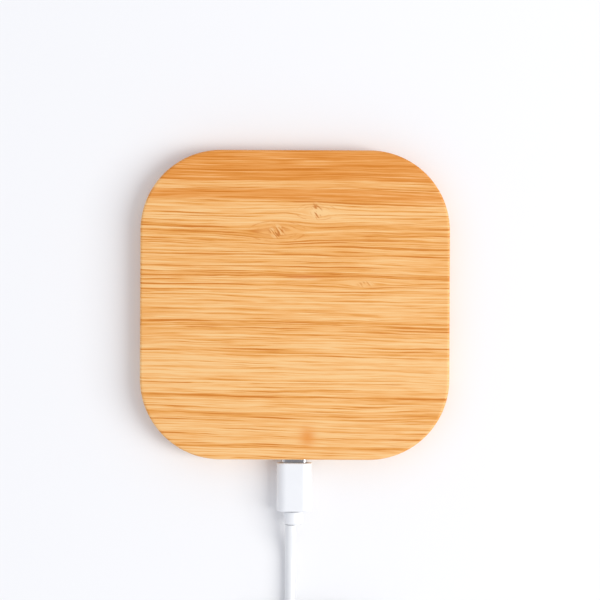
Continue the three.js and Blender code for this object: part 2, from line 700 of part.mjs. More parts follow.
function cableCoil() {
  const groove = cut(tieBlock(TIE_THICKNESS + REST_GAP), [stretched(tieBlock(-REST_GAP))]);
  return cut(woundRing(), [groove]);
}

function cableLead() {
  return cut(sweptTube(smoothCurve(LEAD_ROUTE), CORD_RADIUS, 16, CORD_SIDES), [woundRing(FIT_GAP)]);
}

function cableTail() {
  return cut(sweptTube(smoothCurve(TAIL_ROUTE), CORD_RADIUS, 18, CORD_SIDES), [woundRing(FIT_GAP)]);
}

function usbARelief() {
  const backY = USB_A_OVERMOLD_Y + REST_GAP;
  return turnedAlongY([
    [0, USB_A_RELIEF_Y], [2.3, USB_A_RELIEF_Y], [2.8, USB_A_RELIEF_Y - 1],
    [3.3, backY], [0, backY],
  ], USB_A_X, USB_A_Z);
}

function usbAOvermold() {
  const rounding = USB_A_BODY_ROUNDING;
  const section = roundedRectangle(
    USB_A_BODY_WIDTH - 2 * rounding, USB_A_BODY_HEIGHT - 2 * rounding, 1.2,
  );
  const body = alongY(section, USB_A_OVERMOLD_Y, USB_A_SHELL_Y, USB_A_X, USB_A_Z, rounding);
  const gap = 2 * REST_GAP;
  const socket = roundedRectangle(USB_A_WIDTH + gap, USB_A_HEIGHT + gap, 0.4);
  const socketBackY = USB_A_SHELL_Y + USB_A_ROOT_DEPTH + gap;
  return cut(body, [
    alongY(socket, socketBackY, USB_A_SHELL_Y - OVERRUN, USB_A_X, USB_A_Z),
  ]);
}

// The far plug's metal shell, with its two latch windows in the top face.
function usbAShell() {
  const rootY = USB_A_SHELL_Y + USB_A_ROOT_DEPTH;
  const outer = roundedRectangle(USB_A_WIDTH, USB_A_HEIGHT, 0.35);
  const inner = roundedRectangle(USB_A_WIDTH - 2 * USB_A_WALL, USB_A_HEIGHT - 2 * USB_A_WALL, 0.2);
  const nearY = USB_A_END_Y + USB_A_WINDOW_SETBACK;
  const half = USB_A_WINDOW_WIDTH / 2;
  const windows = [-1, 1].map((sign) => {
    const x = USB_A_X + sign * USB_A_WINDOW_X;
    return box(x - half, x + half, nearY, nearY + USB_A_WINDOW_LENGTH, USB_A_Z + 1, USB_A_Z + 4);
  });
  return cut(alongY(outer, rootY, USB_A_END_Y, USB_A_X, USB_A_Z), [
    alongY(inner, rootY + OVERRUN, USB_A_END_Y - OVERRUN, USB_A_X, USB_A_Z), ...windows,
  ]);
}

// The contact carrier fills the lower part of the far plug's mouth.
function usbAInsulator() {
  const gap = REST_GAP / 2;
  const lowZ = USB_A_Z - USB_A_HEIGHT / 2 + USB_A_WALL + gap;
  const highZ = USB_A_Z + USB_A_HEIGHT / 2 - USB_A_WALL - gap;
  const lowX = USB_A_X - USB_A_WIDTH / 2 + USB_A_WALL + gap;
  const highX = USB_A_X + USB_A_WIDTH / 2 - USB_A_WALL - gap;
  const stopY = USB_A_END_Y + USB_A_STOP_SETBACK;
  const backY = USB_A_SHELL_Y + USB_A_ROOT_DEPTH - 2 * REST_GAP;
  const carrier = box(
    lowX, highX, USB_A_END_Y + USB_A_WALL, backY, lowZ, lowZ + USB_A_CARRIER_THICKNESS,
  );
  return join(carrier, [box(lowX, highX, stopY, backY, lowZ + 1, highZ)]);
}

// ---------------------------------------------------------------- assembly

const pad = new THREE.Group();
const cable = new THREE.Group();

function addPiece(group, name, geometry, material) {
  const mesh = new THREE.Mesh(geometry, material);
  mesh.name = name;
  group.add(mesh);
}

addPiece(pad, 'bamboo_body', bambooBody(), bamboo());
addPiece(pad, 'bottom_cover', bottomCover(), coverPlastic());
CORNERS.forEach(([signX, signY], index) => {
  addPiece(pad, `foot_${index + 1}`, foot(signX, signY), footRubber());
  addPiece(pad, `cover_screw_${index + 1}`, coverScrew(signX, signY), steel());
});
addPiece(pad, 'light_guide', lightGuide(), lightGuidePlastic());

addPiece(pad, 'circuit_board', circuitBoard(), boardLaminate());
addPiece(pad, 'usb_receptacle_shell', receptacleShell(), steel());
addPiece(pad, 'usb_receptacle_tongue', receptacleTongue(), blackPlastic());
addPiece(pad, 'charge_controller', boardBlock(...CONTROLLER), chipEpoxy());
addPiece(pad, 'power_driver', boardBlock(...DRIVER), chipEpoxy());
for (let index = 0; index < CAPACITOR_COUNT; index += 1) {
  addPiece(pad, `resonant_capacitor_${index + 1}`, resonantCapacitor(index), ceramic());
}
addPiece(pad, 'power_inductor', powerInductor(), blackPlastic());
addPiece(pad, 'crystal', boardBlock(...CRYSTAL), steel());
addPiece(pad, 'thermistor', boardBlock(...THERMISTOR), blackPlastic());
addPiece(pad, 'status_led', boardBlock(...STATUS_LED), ledResin());
[-1, 1].forEach((sign, index) => {
  addPiece(pad, `board_screw_${index + 1}`, boardScrew(sign), steel());
});

addPiece(pad, 'ferrite_plate', ferritePlate(), ferrite());
addPiece(pad, 'charging_coil', chargingCoil(), copperWire());
addPiece(pad, 'coil_lead_inner', innerLead(), leadSleeve());
addPiece(pad, 'coil_lead_outer', outerLead(), leadSleeve());
addPiece(pad, 'coil_film', coilFilm(), adhesiveFilm());
addPiece(pad, 'foam_pad', foamPad(), foam());

addPiece(cable, 'plug_shell', plugShell(), steel());
addPiece(cable, 'plug_insulator', plugInsulator(), blackPlastic());
addPiece(cable, 'plug_overmold', plugOvermold(), plugPlastic());
addPiece(cable, 'plug_strain_relief', plugStrainRelief(), plugPlastic());
addPiece(cable, 'cable_lead', cableLead(), cordJacket());
addPiece(cable, 'cable_coil', cableCoil(), cordJacket());
addPiece(cable, 'cable_tail', cableTail(), cordJacket());
addPiece(cable, 'cable_tie', cableTie(), tieFabric());
addPiece(cable, 'usb_a_strain_relief', usbARelief(), plugPlastic());
addPiece(cable, 'usb_a_overmold', usbAOvermold(), plugPlastic());
addPiece(cable, 'usb_a_shell', usbAShell(), steel());
addPiece(cable, 'usb_a_insulator', usbAInsulator(), plugPlastic());

const chargingPad = new THREE.Group();
chargingPad.add(pad, cable);

export default chargingPad;
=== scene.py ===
"""Looks of a bamboo wireless charging pad with a white USB lead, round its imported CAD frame."""

import json
import math

import bmesh
import bpy
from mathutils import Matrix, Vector


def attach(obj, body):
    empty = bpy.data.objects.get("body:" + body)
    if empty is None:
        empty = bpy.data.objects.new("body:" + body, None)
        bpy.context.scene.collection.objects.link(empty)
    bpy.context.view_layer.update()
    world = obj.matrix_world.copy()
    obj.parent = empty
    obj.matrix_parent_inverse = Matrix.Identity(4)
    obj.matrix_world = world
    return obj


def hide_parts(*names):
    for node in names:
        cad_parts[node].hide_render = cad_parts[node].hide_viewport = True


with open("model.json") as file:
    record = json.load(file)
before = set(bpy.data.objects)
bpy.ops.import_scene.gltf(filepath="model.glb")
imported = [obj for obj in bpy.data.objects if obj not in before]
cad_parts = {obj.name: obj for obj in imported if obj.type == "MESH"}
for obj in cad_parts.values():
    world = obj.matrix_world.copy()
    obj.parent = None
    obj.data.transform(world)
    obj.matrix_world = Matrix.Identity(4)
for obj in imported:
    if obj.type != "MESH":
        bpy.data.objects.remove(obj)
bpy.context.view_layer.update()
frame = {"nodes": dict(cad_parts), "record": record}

MM = 0.001

# ---------------------------------------------------------------- sizes, in millimetres

PAD_HALF = 50.0
PAD_TOP = 9.0
PAD_BASE = 1.0
CORNER_RADIUS = 26.0
TOP_ROUNDING = 0.9
BASE_ROUNDING = 0.6
SEAT_HALF = 47.5
SEAT_Z = 3.0
POCKET_HALF = 42.0
POCKET_RADIUS = 30.0
ROOF_Z = 7.0
CORNER_SEGMENTS = 24

PORT_Z = 4.9
CORNER_OFFSET = 36.4
LIGHT_GUIDE_X = 12.0
GUIDE_HOLE_RADIUS = 1.1
PORT_SLOT = (4.83, 1.9)
BAY = (8.0, 2.25, 4.75)
BAY_FRONT_Y = -48.3
BAY_BACK_Y = -40.0
PILOT_RADIUS = 1.2
PILOT_TOP_Z = 6.8
COVER_HALF = 47.2
COVER_ROUNDING = 0.3
BOSS_RADIUS = 2.4
BOSS_HEIGHT = 0.3
BOARD_HOLE_RADIUS = 1.1
BOARD_SCREW_X = 18.5
BOARD_SCREW_Y = -29.0
FOOT_RADIUS = 5.0
FOOT_SEAT_Z = 1.6
OVERMOLD_FRONT_Y = -51.2
OVERMOLD_BACK_Y = -67.0
OVERMOLD_WIDTH = 11.4
OVERMOLD_HEIGHT = 6.4
PLUG_SOCKET = (4.225, 1.3)
RELIEF_X = -0.3
USB_A_X = -29.5
USB_A_Z = 3.95
USB_A_BODY_Y = -122.5
USB_A_SHELL_Y = -142.5
USB_A_BODY_WIDTH = 15.6
USB_A_BODY_HEIGHT = 7.8
USB_A_CORNER = 2.2
USB_A_SOCKET = (6.1, 2.35, 0.4)
SOFT_EDGES = {"usb_a_shell": 0.06, "plug_shell": 0.04, "cable_tie": 0.12}

# The lead, as the CAD lays it out
CORD_RADIUS = 1.8
CORD_Z = 1.85
LAYER_PITCH = 3.7
TURN_PITCH = 3.7
WOUND_MID_RADIUS = 21.2
WOUND_CENTRE = (23.7, -125.5)
TURNS_IN = 3
TOP_TURNED = 990
TIE_RISE = 0.6
TIE_REACH = 16
LEAD_ROUTE = [
    (-1.1, -71.3, 4.9), (-1.15, -74, 4.58), (-1.2, -76.4, 3.83), (-1.2, -78.9, 2.92),
    (-1.2, -81.4, 2.17), (-1.2, -84, 1.87), (-1.2, -88, 1.85), (-1.2, -92.5, 1.85),
    (-1.2, -98, 1.85), (-1.2, -103, 1.85), (-1.2, -108, 1.85), (-1.2, -112.5, 1.85),
    (-1.2, -116.5, 1.85), (-1.2, -121, 1.85),
]
TAIL_ROUTE = [
    (19.5, -100.6, 5.55), (14.9, -100.6, 5.55), (11, -100.6, 5.55), (7, -100.6, 5.55),
    (3, -100.6, 5.55), (-1, -100.6, 5.55), (-5, -100.7, 5.3), (-9, -101, 4.4), (-13, -101.6, 3.1),
    (-17, -102.9, 2.2), (-21.2, -105.2, 1.9), (-25.2, -108.6, 2.1), (-28.2, -112.4, 3),
    (-29.4, -114.8, 3.7), (-29.5, -116.4, 3.95),
]

# ---------------------------------------------------------------- camera, floor and light

PICTURE_WIDTH = 193.5
LENS = 100.0
SENSOR = 36.0
PICTURE_CENTRE = (1.65, 1.58)
CAMERA_ROLL = math.radians(0.22)
KEY_SIZE = (0.64, 1.44)
KEY_POWER = 23.0
KEY_COLOUR = (1.0, 0.985, 0.955)
KEY_PLACE = (1.312, -0.24, 1.28)
TENT_LEVELS = [(0.0, 1.0), (0.48, 1.0), (0.52, 0.77), (0.975, 0.77), (0.992, 0.3), (1.0, 0.3)]
TENT_TINT = (0.975, 0.995, 1.06)
FLOOR_HALF = 8.0
FLOOR_COLOUR = (0.85, 0.85, 0.857, 1)


def make_camera():
    """Straight above the pad, at the height where the picture takes in its real width."""
    data = bpy.data.cameras.new("camera")
    data.lens = LENS
    data.sensor_width = SENSOR
    data.clip_start = 0.01
    camera = bpy.data.objects.new("camera", data)
    height = PAD_TOP + PICTURE_WIDTH * LENS / SENSOR
    camera.location = (PICTURE_CENTRE[0] * MM, PICTURE_CENTRE[1] * MM, height * MM)
    camera.rotation_euler = (0, 0, CAMERA_ROLL)
    bpy.context.scene.collection.objects.link(camera)
    bpy.context.scene.camera = camera


def make_key_light():
    """One large soft panel, high on the right and a little towards the lead."""
    data = bpy.data.lights.new("key", "AREA")
    data.shape = "RECTANGLE"
    data.size, data.size_y = KEY_SIZE
    data.energy = KEY_POWER
    data.color = KEY_COLOUR
    light = bpy.data.objects.new("key", data)
    light.location = KEY_PLACE
    light.rotation_euler = (-Vector(light.location)).to_track_quat("-Z", "Y").to_euler()
    bpy.context.scene.collection.objects.link(light)


def make_world():
    """White all round like a light tent, darker straight overhead, and brighter from below."""
    world = bpy.data.worlds.new("tent")
    world.use_nodes = True
    tree = world.node_tree
    tree.nodes.clear()
    coords = tree.nodes.new("ShaderNodeTexCoord")
    split = tree.nodes.new("ShaderNodeSeparateXYZ")
    tree.links.new(coords.outputs["Generated"], split.inputs[0])
    ramp = tree.nodes.new("ShaderNodeValToRGB")
    spread = tree.nodes.new("ShaderNodeMapRange")
    spread.inputs["From Min"].default_value = -1
    tree.links.new(split.outputs["Z"], spread.inputs["Value"])
    tree.links.new(spread.outputs["Result"], ramp.inputs["Fac"])
    fill_ramp(ramp, [(place, [level * part for part in TENT_TINT]) for place, level in TENT_LEVELS])
    background = tree.nodes.new("ShaderNodeBackground")
    tree.links.new(ramp.outputs["Color"], background.inputs["Color"])
    output = tree.nodes.new("ShaderNodeOutputWorld")
    tree.links.new(background.outputs[0], output.inputs["Surface"])
    bpy.context.scene.world = world


def fill_ramp(node, stops):
    """Gives a colour ramp these (place, colour) stops."""
    elements = node.color_ramp.elements
    while len(elements) > 1:
        elements.remove(elements[-1])
    elements[0].position = stops[0][0]
    elements[0].color = (*stops[0][1], 1)
    for place, colour in stops[1:]:
        elements.new(place).color = (*colour, 1)


def make_floor():
    """A pale table top, clear from underneath and to shadow rays, so that the underside is lit."""
    mesh = bpy.data.meshes.new("floor")
    half = FLOOR_HALF
    corners = [(-half, -half, 0), (half, -half, 0), (half, half, 0), (-half, half, 0)]
    mesh.from_pydata(corners, [], [(0, 1, 2, 3)])
    floor = bpy.data.objects.new("floor", mesh)
    bpy.context.scene.collection.objects.link(floor)
    material = bpy.data.materials.new("floor_paint")
    material.use_nodes = True
    tree = material.node_tree
    surface = tree.nodes["Principled BSDF"]
    surface.inputs["Base Color"].default_value = FLOOR_COLOUR
    surface.inputs["Roughness"].default_value = 0.9
    surface.inputs["Specular IOR Level"].default_value = 0.0
    clear = tree.nodes.new("ShaderNodeBsdfTransparent")
    side = tree.nodes.new("ShaderNodeNewGeometry")
    path = tree.nodes.new("ShaderNodeLightPath")
    open_to_light = tree.nodes.new("ShaderNodeMath")
    open_to_light.operation = "MAXIMUM"
    tree.links.new(side.outputs["Backfacing"], open_to_light.inputs[0])
    tree.links.new(path.outputs["Is Shadow Ray"], open_to_light.inputs[1])
    mix = tree.nodes.new("ShaderNodeMixShader")
    tree.links.new(open_to_light.outputs[0], mix.inputs["Fac"])
    tree.links.new(surface.outputs[0], mix.inputs[1])
    tree.links.new(clear.outputs[0], mix.inputs[2])
    tree.links.new(mix.outputs[0], tree.nodes["Material Output"].inputs["Surface"])
    mesh.materials.append(material)


make_camera()
make_key_light()
make_world()
make_floor()
bpy.context.scene.view_settings.view_transform = "Standard"
bpy.context.scene.view_settings.look = "None"

# ---------------------------------------------------------------- material tools


class Shader:
    """Builds one material's node tree in object space, in millimetres."""

    def __init__(self, name, roughness, metallic=0.0):
        self.material = bpy.data.materials.new(name)
        self.material.use_nodes = True
        self.tree = self.material.node_tree
        self.surface = self.tree.nodes["Principled BSDF"]
        self.surface.inputs["Roughness"].default_value = roughness
        self.surface.inputs["Metallic"].default_value = metallic
        coords = self.tree.nodes.new("ShaderNodeTexCoord")
        scaled = self.tree.nodes.new("ShaderNodeVectorMath")
        scaled.operation = "SCALE"
        scaled.inputs["Scale"].default_value = 1 / MM
        self.link(coords.outputs["Object"], scaled.inputs[0])
        self.place = scaled.outputs[0]
        self.x, self.y, self.z = self.split(self.place)

    def link(self, source, target):
        """Links a socket, or sets a plain value."""
        if isinstance(source, (int, float, tuple)):
            target.default_value = source
        else:
            self.tree.links.new(source, target)

    def split(self, vector):
        """The three parts of a vector."""
        node = self.tree.nodes.new("ShaderNodeSeparateXYZ")
        self.link(vector, node.inputs[0])
        return node.outputs

    def math(self, operation, a, b=0.0, c=0.0):
        node = self.tree.nodes.new("ShaderNodeMath")
        node.operation = operation
        self.link(a, node.inputs[0])
        self.link(b, node.inputs[1])
        self.link(c, node.inputs[2])
        return node.outputs[0]

    def add(self, *terms):
        """Adds any number of terms."""
        total = terms[0]
        for term in terms[1:]:
            total = self.math("ADD", total, term)
        return total

    def times(self, a, b):
        return self.math("MULTIPLY", a, b)

    def vector(self, x, y, z):
        node = self.tree.nodes.new("ShaderNodeCombineXYZ")
        self.link(x, node.inputs[0])
        self.link(y, node.inputs[1])
        self.link(z, node.inputs[2])
        return node.outputs[0]

    def noise(self, place, scale=1.0, detail=2.0, roughness=0.5, distortion=0.0):
        """Noise centred on zero, about -0.5 to 0.5."""
        node = self.tree.nodes.new("ShaderNodeTexNoise")
        self.link(place, node.inputs["Vector"])
        node.inputs["Scale"].default_value = scale
        node.inputs["Detail"].default_value = detail
        node.inputs["Roughness"].default_value = roughness
        node.inputs["Distortion"].default_value = distortion
        return self.math("SUBTRACT", node.outputs["Fac"], 0.5)

    def range(self, value, low, high, to_low=0.0, to_high=1.0, smooth=True):
        """Maps low..high to to_low..to_high, held at both ends."""
        node = self.tree.nodes.new("ShaderNodeMapRange")
        node.interpolation_type = "SMOOTHSTEP" if smooth else "LINEAR"
        self.link(value, node.inputs["Value"])
        node.inputs["From Min"].default_value = low
        node.inputs["From Max"].default_value = high
        node.inputs["To Min"].default_value = to_low
        node.inputs["To Max"].default_value = to_high
        return node.outputs["Result"]

    def ramp(self, value, stops):
        node = self.tree.nodes.new("ShaderNodeValToRGB")
        fill_ramp(node, stops)
        self.link(value, node.inputs["Fac"])
        return node.outputs["Color"]

    def mix(self, factor, a, b, blend="MIX"):
        node = self.tree.nodes.new("ShaderNodeMix")
        node.data_type = "RGBA"
        node.blend_type = blend
        self.link(factor, node.inputs["Factor"])
        self.link((*a, 1) if isinstance(a, tuple) else a, node.inputs["A"])
        self.link((*b, 1) if isinstance(b, tuple) else b, node.inputs["B"])
        return node.outputs["Result"]

    def bump(self, height, depth, strength=1.0):
        """Bump from a height in units of depth, in millimetres."""
        node = self.tree.nodes.new("ShaderNodeBump")
        node.inputs["Strength"].default_value = strength
        node.inputs["Distance"].default_value = depth * MM
        self.link(height, node.inputs["Height"])
        self.link(node.outputs[0], self.surface.inputs["Normal"])

    def finish(self, colour, roughness):
        """Connects colour and roughness, and returns the material."""
        self.link(colour, self.surface.inputs["Base Color"])
        self.link(roughness, self.surface.inputs["Roughness"])
        return self.material


# ---------------------------------------------------------------- bamboo

# Tone of the wood from -Y to +Y: (y in mm, tone), where 0 is dark and 1 is pale
WOOD_TONES = [
    (-50, 0.62), (-44, 0.52), (-41, 0.60), (-37, 0.56), (-35.5, 0.40), (-33, 0.56), (-30.4, 0.42),
    (-28, 0.66), (-21.5, 0.72), (-17, 0.70), (-15, 0.50), (-12.5, 0.60), (-9, 0.52), (-6.5, 0.36),
    (-4.5, 0.50), (0, 0.52), (5, 0.54), (9, 0.40), (11, 0.52), (14.5, 0.52), (18, 0.56),
    (20.5, 0.36), (25.5, 0.38), (28, 0.62), (33, 0.66), (34, 0.42), (37, 0.40), (38, 0.55),
    (39.5, 0.55), (40.5, 0.38), (50, 0.40),
]
# Share of the darker strip that is glued along the +Y edge
CARAMEL_SHARE = [
    (33.2, 0.0), (33.7, 0.9), (36.7, 1.0), (37.2, 0.25), (39.6, 0.12), (40.2, 0.95), (46.0, 1.0),
    (46.4, 0.75), (47.0, 1.0), (50, 1.0),
]
# Long darker fibres: (y, strength, half width)
DARK_FIBRES = [
    (-43.3, 0.22, 0.45), (-36.8, 0.35, 0.4), (-35.2, 0.42, 0.45), (-28.6, 0.3, 0.35),
    (-22.9, 0.5, 0.3), (-20.7, 0.35, 0.3), (-15.3, 0.42, 0.4), (-8.3, 0.45, 0.35), (-6.7, 0.5, 0.4),
    (4.4, 0.32, 0.35),
]
MORE_DARK_FIBRES = [
    (9.2, 0.42, 0.4), (13.8, 0.3, 0.35), (17.2, 0.32, 0.3), (21.2, 0.34, 0.35), (23.4, 0.36, 0.3),
    (25.6, 0.3, 0.35), (33.1, 0.55, 0.4), (40.4, 0.5, 0.35), (44.8, 0.3, 0.3), (48.9, 0.35, 0.35),
]
WOOD_COLOURS = [
    (0.0, (0.575, 0.18, 0.016)), (0.25, (0.695, 0.288, 0.052)), (0.5, (0.79, 0.385, 0.112)),
    (0.75, (0.832, 0.459, 0.170)), (1.0, (0.853, 0.535, 0.235)),
]
CARAMEL_COLOURS = [
    (0.0, (0.56, 0.165, 0.006)), (0.25, (0.63, 0.212, 0.018)), (0.5, (0.695, 0.258, 0.042)),
    (0.75, (0.76, 0.33, 0.082)), (1.0, (0.825, 0.42, 0.15)),
]
PALE_SCAR = (0.85, 0.54, 0.24)
DEEP_SCAR = (0.50, 0.15, 0.015)
LENS_COLOUR = (0.80, 0.40, 0.125)
ARC_COLOUR = (0.62, 0.215, 0.03)
LOW_MARK_COLOUR = (0.74, 0.27, 0.045)
MID_MARK_COLOUR = (0.62, 0.20, 0.05)
RAMP_LOW, RAMP_HIGH = -52.0, 52.0
# Middles of the three nodes in the culm and of the two orange marks
BIG_NODE = (-5.9, 23.7)
TOP_NODE = (6.8, 30.0)
TOP_SCAR = (6.8, 30.2)
SMALL_NODE = (23.2, 6.7)
LOW_MARK = (4.2, -42.6)
MID_MARK = (2.6, 9.0)


def grey_stops(pairs):
    """Ramp stops over the pad's depth from (y, level) pairs."""
    span = RAMP_HIGH - RAMP_LOW
    return [((y - RAMP_LOW) / span, (level, level, level)) for y, level in pairs]


def fibre_stops(fibres):
    """Ramp stops that rise to each fibre's strength and fall again."""
    pairs = []
    for y, strength, half_width in fibres:
        pairs += [(y - half_width, 0.0), (y, strength), (y + half_width, 0.0)]
    return grey_stops(pairs)


def patch(shader, centre, reach):
    """A soft oval patch, 1 in its middle, and how far a point lies from it along Y."""
    away_x = shader.math("DIVIDE", shader.math("SUBTRACT", shader.x, centre[0]), reach[0])
    away_y = shader.math("DIVIDE", shader.math("SUBTRACT", shader.y, centre[1]), reach[1])
    square = shader.add(shader.times(away_x, away_x), shader.times(away_y, away_y))
    return shader.math("EXPONENT", shader.times(square, -1.0)), away_y


def node_swirl(shader, centre, reach, push):
    """How far a node in the culm pushes the fibres apart round it, in mm along Y, and its reach."""
    fade, away_y = patch(shader, centre, reach)
    side = shader.math("TANH", shader.times(away_y, 2.5))
    return shader.times(shader.times(side, fade), push), fade


def knot_arcs(shader, fade, count, centre):
    """Thin fibres bent round a node, above and below it, as nested curves on its reach."""
    place = shader.math("FRACT", shader.times(fade, count))
    line = shader.range(shader.math("ABSOLUTE", shader.add(place, -0.5)), 0.0, 0.22, 1, 0)
    off_axis = shader.range(shader.math("ABSOLUTE", shader.add(shader.y, -centre[1])), 0.5, 1.3)
    return shader.times(shader.times(line, off_axis), shader.range(fade, 0.12, 0.35))


def fibre_lines(shader, across, pitch, width, seed, low=-0.05, high=0.10, along=0.022):
    """Thin fibres of one width, unevenly spaced along `across`, each fading in and out along X."""
    place = shader.math("MULTIPLY_ADD", across, 1 / pitch, seed)
    cell = shader.math("FLOOR", place)
    chance = shader.tree.nodes.new("ShaderNodeTexWhiteNoise")
    chance.noise_dimensions = "1D"
    shader.link(cell, chance.inputs["W"])
    shift, strength, _ = shader.split(chance.outputs["Color"])
    local = shader.add(shader.math("FRACT", place), shader.times(shift, 0.5), -0.75)
    shape = shader.range(shader.math("ABSOLUTE", local), 0.0, width / pitch, 1, 0)
    run = shader.vector(shader.times(shader.x, along), shader.times(cell, 3.71), seed)
    fade = shader.range(shader.noise(run, 1.0, 1.0), low, high)
    strength = shader.range(strength, 0.0, 1.0, 0.35, 1.0, smooth=False)
    return shader.times(shader.times(shape, fade), strength)


def bamboo_material():
    """Laminated bamboo: long fibres over strips of different tone, bent round three nodes."""
    shader = Shader("bamboo_laminate", 0.46)
    x, y, z = shader.x, shader.y, shader.z
    wide = shader.noise(shader.vector(shader.times(x, 0.014), shader.times(y, 0.07), 3.0), 1.0, 1.0)
    fine = shader.noise(shader.vector(shader.times(x, 0.05), shader.times(y, 0.40),
                                      shader.times(z, 0.25)), 1.0, 2.0)
    layers = shader.noise(shader.vector(0.0, 5.0, shader.times(z, 0.38)), 1.0, 1.0)
    big_push, big_fade = node_swirl(shader, BIG_NODE, (9.0, 3.2), 2.0)
    top_push, top_fade = node_swirl(shader, TOP_NODE, (6.5, 2.6), 1.2)
    small_push, _ = node_swirl(shader, SMALL_NODE, (7.0, 1.8), 0.9)
    across = shader.add(y, shader.times(x, 0.015), shader.times(wide, 2.6), shader.times(fine, 0.9),
                        shader.times(z, 0.3), shader.times(layers, 2.4), -2.9)
    for push in (big_push, top_push, small_push):
        across = shader.math("SUBTRACT", across, push)

    def streaks(along, over, offset, detail):
        """Noise drawn out along the fibres."""
        place = shader.vector(shader.add(shader.times(x, along), offset),
                              shader.times(across, over), shader.times(z, over * 0.5))
        return shader.noise(place, 1.0, detail, 0.55)

    bands = streaks(0.010, 0.28, 11.0, 1.0)
    lines = streaks(0.025, 1.3, 27.0, 2.0)
    threads = streaks(0.060, 2.6, 43.0, 1.0)
    hairs = streaks(0.20, 8.0, 5.0, 1.0)
    deep_lines = shader.add(fibre_lines(shader, across, 3.1, 0.42, 11.3, -0.03, 0.07, 0.012),
                            fibre_lines(shader, across, 1.57, 0.34, 23.7))
    thin_lines = shader.add(fibre_lines(shader, across, 0.93, 0.24, 37.1, -0.05, 0.06, 0.035),
                            fibre_lines(shader, across, 0.61, 0.19, 61.3, -0.02, 0.08, 0.05))
    pale_lines = shader.add(fibre_lines(shader, across, 1.91, 0.32, 53.9),
                            fibre_lines(shader, across, 5.3, 0.50, 71.9),
                            fibre_lines(shader, across, 0.83, 0.22, 91.7, -0.04, 0.08, 0.04))

    place = shader.range(across, RAMP_LOW, RAMP_HIGH, smooth=False)
    tone = shader.ramp(place, grey_stops(WOOD_TONES))
    caramel = shader.ramp(place, grey_stops(CARAMEL_SHARE))
    fibres = shader.add(shader.ramp(place, fibre_stops(DARK_FIBRES)),
                        shader.ramp(place, fibre_stops(MORE_DARK_FIBRES)))
    fibre_fade = shader.range(shader.noise(shader.vector(shader.times(x, 0.03), shader.times(y, 0.4),
                                                         8.0), 1.0, 1.0), -0.22, 0.10)
    value = shader.add(
        tone, 0.155,
        shader.times(bands, 0.28), shader.times(lines, 0.55), shader.times(threads, 1.2),
        shader.times(hairs, 0.65),
        shader.times(deep_lines, -0.58), shader.times(thin_lines, -0.46),
        shader.times(pale_lines, 0.52),
        shader.times(shader.times(fibres, fibre_fade), -1.1),
    )
    wood = shader.ramp(value, WOOD_COLOURS)
    dark = shader.ramp(shader.math("MULTIPLY_ADD", value, 0.8, 0.145), CARAMEL_COLOURS)
    colour = shader.mix(caramel, wood, dark)
    relief = shader.add(shader.times(lines, 0.5), shader.times(threads, 0.6),
                        shader.times(hairs, 0.4))
    shader.bump(relief, 0.10, 0.55)
    shader.surface.inputs["Specular IOR Level"].default_value = 0.3
    roughness = shader.range(value, 0.1, 0.9, 0.56, 0.42, smooth=False)
    return shader.finish(nodes_and_marks(shader, colour, big_fade, top_fade), roughness)


def nodes_and_marks(shader, colour, big_fade, top_fade):
    """Adds the scars and bent fibres at the nodes, and two orange marks."""
    x, y = shader.x, shader.y
    big_core, _ = patch(shader, BIG_NODE, (4.2, 3.6))
    top_core, _ = patch(shader, TOP_SCAR, (3.2, 5.0))
    small_core, _ = patch(shader, SMALL_NODE, (5.5, 1.9))
    across_stroke = shader.add(shader.times(x, 0.79), shader.times(y, 0.62))
    along_stroke = shader.add(shader.times(x, 0.62), shader.times(y, -0.79))
    scar_place = shader.vector(shader.times(across_stroke, 1.5), shader.times(along_stroke, 0.35), 2.0)
    scar = shader.noise(scar_place, 1.0, 1.0)
    core = shader.add(shader.range(big_core, 0.55, 0.9), shader.range(top_core, 0.6, 0.95),
                      shader.times(shader.range(small_core, 0.65, 0.97), 0.7))
    pale = shader.times(core, shader.range(scar, 0.0, 0.12))
    deep = shader.times(core, shader.range(scar, -0.02, -0.13))
    breaks = shader.noise(shader.vector(shader.times(x, 0.35), shader.times(y, 1.1), 4.0), 1.0, 1.0)
    arcs = shader.add(knot_arcs(shader, big_fade, 4.3, BIG_NODE),
                      knot_arcs(shader, top_fade, 4.2, TOP_NODE))
    arcs = shader.times(arcs, shader.range(breaks, -0.12, 0.10))
    lens = shader.range(big_fade, 0.35, 0.85)
    low_mark, _ = patch(shader, LOW_MARK, (2.6, 3.2))
    mid_mark, _ = patch(shader, MID_MARK, (5.0, 0.7))
    layers = [
        (lens, 0.6, LENS_COLOUR), (arcs, 0.65, ARC_COLOUR), (top_fade, 0.35, PALE_SCAR),
        (pale, 0.75, PALE_SCAR), (deep, 0.85, DEEP_SCAR), (low_mark, 0.85, LOW_MARK_COLOUR),
        (mid_mark, 0.55, MID_MARK_COLOUR),
    ]
    for share, strength, tint in layers:
        colour = shader.mix(shader.times(share, strength), colour, tint)
    return colour


# ---------------------------------------------------------------- other materials


def moulded_material(name, pale, shade, roughness, grain, depth, coat):
    """Moulded plastic or rubber with a fine spark-eroded grain and slight mottling."""
    shader = Shader(name, roughness)
    mottle = shader.noise(shader.place, 0.12, 3.0)
    speck = shader.noise(shader.place, grain, 2.0, 0.6)
    colour = shader.mix(shader.range(mottle, -0.25, 0.25), pale, shade)
    shader.bump(speck, depth, 0.5)
    varied = shader.range(shader.add(mottle, shader.times(speck, 0.5)), -0.4, 0.4,
                          roughness - 0.05, roughness + 0.05)
    shader.surface.inputs["Coat Weight"].default_value = coat
    shader.surface.inputs["Coat Roughness"].default_value = 0.25
    return shader.finish(colour, varied)


